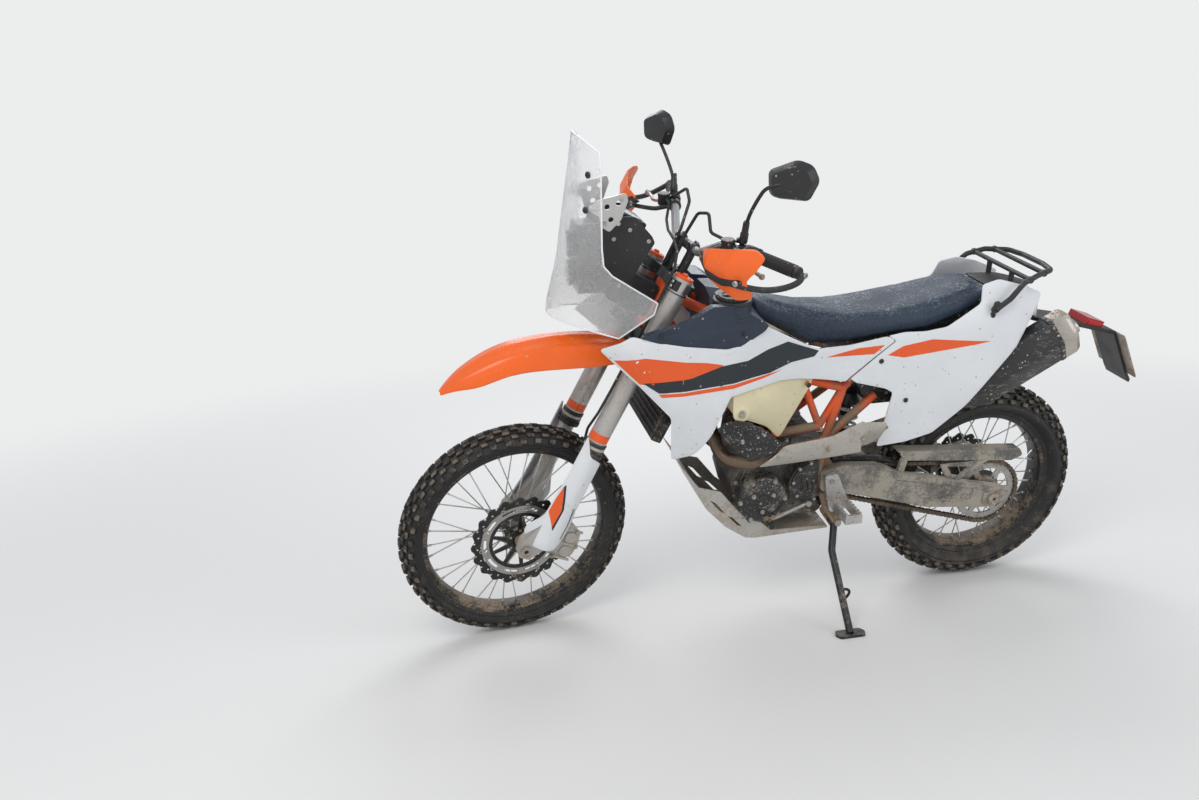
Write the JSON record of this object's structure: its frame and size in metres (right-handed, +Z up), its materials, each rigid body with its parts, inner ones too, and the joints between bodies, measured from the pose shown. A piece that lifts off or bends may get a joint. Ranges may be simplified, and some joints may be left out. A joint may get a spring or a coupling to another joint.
{
  "type": "dual sport motorcycle",
  "caption": "Single-cylinder dual sport motorcycle with long front fender, tall clear screen, knobby tyres and rear rack, leaning on its side stand.",
  "frame": {"origin": "bottom centre of the bounding box, on the ground the tyres and the side stand rest on", "axes": "the front of the motorcycle points to -X, +Y is the rider's right, +Z up"},
  "size_m": [2.3346, 0.8418, 1.5423],
  "materials": {
    "orange_frame": "gloss enamel with dust",
    "hose_rubber": "black hose",
    "engine_metal": "cast, dusty",
    "black_cover": "satin, dusty",
    "raw_plate": "scratched sheet with mud",
    "exhaust_steel": "heat browned steel",
    "shield_metal": "dusty stainless sheet",
    "silencer_black": "satin black, scuffed",
    "cap_steel": "brushed stainless",
    "tank_plastic": "translucent cream plastic",
    "black_plastic": "grained black plastic",
    "navy_plastic": "dark blue plastic",
    "white_plastic": "white plastic with stripes",
    "radiator_metal": "black finned core",
    "seat_cover": "dark blue grained seat cover",
    "plate_blank": "blank plate with dried mud",
    "lamp_lens": "red lens",
    "clear_screen": "clear plastic screen with dust",
    "silver_bracket": "anodised plate",
    "lamp_unit": "black lamp unit",
    "swingarm_metal": "cast alloy with mud",
    "chain_steel": "oiled dusty chain",
    "axle_steel": "turned steel",
    "clamp_alloy": "anodised alloy",
    "spring_steel": "painted spring and damper",
    "fork_alloy": "grey alloy with dried mud",
    "orange_plastic": "bright orange plastic",
    "bar_alloy": "silver bar",
    "grip_rubber": "ribbed rubber",
    "mirror_shell": "black shell",
    "tyre_rubber": "knobby rubber with dried mud",
    "rim_black": "black anodised rim",
    "disc_steel": "ground steel disc",
    "stand_black": "black steel"
  },
  "bodies": {
    "chassis": {"frame_sides": "orange_frame", "frame_middle": "orange_frame", "coolant_hoses": "hose_rubber", "crankcase": "engine_metal", "engine_covers": "black_cover", "cylinder": "engine_metal", "skid_plate": "raw_plate", "exhaust_pipe": "exhaust_steel", "heat_shield": "shield_metal", "silencer": "silencer_black", "silencer_cap": "cap_steel", "lower_tank": "tank_plastic", "lower_guards": "black_plastic", "tank_top": "navy_plastic", "filler_cap": "black_plastic", "shroud_left": "white_plastic", "shroud_right": "white_plastic", "rear_panel_left": "white_plastic", "rear_panel_right": "white_plastic", "radiator": "radiator_metal", "rear_tank": "black_plastic", "seat": "seat_cover", "tail_fender": "black_plastic", "tail_cover": "white_plastic", "number_plate": "plate_blank", "tail_lamp": "lamp_lens", "rack": "black_plastic", "screen_tower": "black_plastic", "windshield": "clear_screen", "screen_brackets": "silver_bracket", "headlight": "lamp_unit", "instrument": "black_plastic", "swingarm": "swingarm_metal", "chain": "chain_steel", "chain_guard": "swingarm_metal", "rear_axle": "axle_steel", "rear_caliper": "clamp_alloy", "shock": "spring_steel", "foot_pegs": "silver_bracket", "foot_controls": "axle_steel"},
    "steering": {"triple_clamps": "clamp_alloy", "fork_tubes": "fork_alloy", "fork_lowers": "fork_alloy", "fork_guards": "white_plastic", "front_axle": "axle_steel", "front_fender": "orange_plastic", "front_caliper": "fork_alloy", "handlebar": "bar_alloy", "hand_controls": "grip_rubber", "handguards": "orange_plastic", "mirrors": "mirror_shell", "front_cables": "hose_rubber"},
    "front_wheel": {"front_tyre": "tyre_rubber", "front_rim": "rim_black", "front_disc": "disc_steel"},
    "rear_wheel": {"rear_tyre": "tyre_rubber", "rear_rim": "rim_black", "rear_disc": "disc_steel", "sprocket": "axle_steel"},
    "side_stand": {"side_stand": "stand_black"}
  },
  "joints": [
    {"name": "steering", "type": "hinge", "parent": "chassis", "child": "steering", "pos_m": [-0.39337, 0.03278, 0.99756], "axis": [0.4634, -0.1841, 0.8668], "range_deg": [-46, 30]},
    {"name": "front_wheel", "type": "hinge", "parent": "steering", "child": "front_wheel", "pos_m": [-0.81829, 0.16264, 0.34103], "axis": [-0.1237, 0.9552, 0.269], "continuous": true},
    {"name": "rear_wheel", "type": "hinge", "parent": "chassis", "child": "rear_wheel", "pos_m": [0.68314, 0.17358, 0.33691], "axis": [-0.0003, 0.9781, 0.2079], "continuous": true},
    {"name": "side_stand", "type": "hinge", "parent": "chassis", "child": "side_stand", "pos_m": [0.1492, 0.04047, 0.29854], "axis": [-0.1036, -0.8456, 0.5236], "range_deg": [0, 88.06]}
  ]
}
